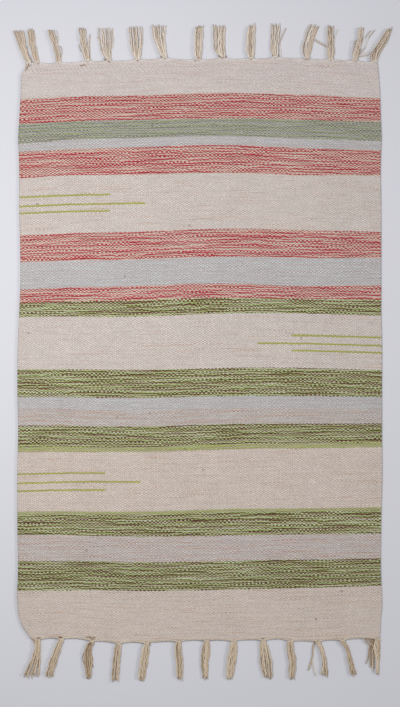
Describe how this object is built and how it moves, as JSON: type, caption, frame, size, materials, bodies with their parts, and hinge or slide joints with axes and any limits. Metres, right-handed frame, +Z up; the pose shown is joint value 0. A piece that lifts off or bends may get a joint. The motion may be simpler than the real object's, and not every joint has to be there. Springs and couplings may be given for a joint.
{
  "type": "kilim rug",
  "caption": "Flat-woven striped cotton kilim rug lying flat, with knotted warp tassels along both short ends.",
  "frame": {"origin": "middle of the cloth's underside, on the surface that the rug lies on", "axes": "+X across the cloth, +Y along its length towards the far end (the top of the picture), +Z up"},
  "size_m": [0.9733, 1.6905, 0.0076],
  "materials": {
    "woven_cloth": "weft-faced cotton plain weave, cream with marled bands of red, sage, pale blue and green",
    "tassel_yarn": "plied natural cotton warp yarn, beige and matt"
  },
  "bodies": {
    "root": {"cloth": "woven_cloth", "far_tassel_01": "tassel_yarn", "far_tassel_02": "tassel_yarn", "far_tassel_03": "tassel_yarn", "far_tassel_04": "tassel_yarn", "far_tassel_05": "tassel_yarn", "far_tassel_06": "tassel_yarn", "far_tassel_07": "tassel_yarn", "far_tassel_08": "tassel_yarn", "far_tassel_09": "tassel_yarn", "far_tassel_10": "tassel_yarn", "far_tassel_11": "tassel_yarn", "far_tassel_12": "tassel_yarn", "far_tassel_13": "tassel_yarn", "far_tassel_14": "tassel_yarn", "far_tassel_15": "tassel_yarn", "near_tassel_01": "tassel_yarn", "near_tassel_02": "tassel_yarn", "near_tassel_03": "tassel_yarn", "near_tassel_04": "tassel_yarn", "near_tassel_05": "tassel_yarn", "near_tassel_06": "tassel_yarn", "near_tassel_07": "tassel_yarn", "near_tassel_08": "tassel_yarn", "near_tassel_09": "tassel_yarn", "near_tassel_10": "tassel_yarn", "near_tassel_11": "tassel_yarn", "near_tassel_12": "tassel_yarn", "near_tassel_13": "tassel_yarn"}
  },
  "joints": []
}
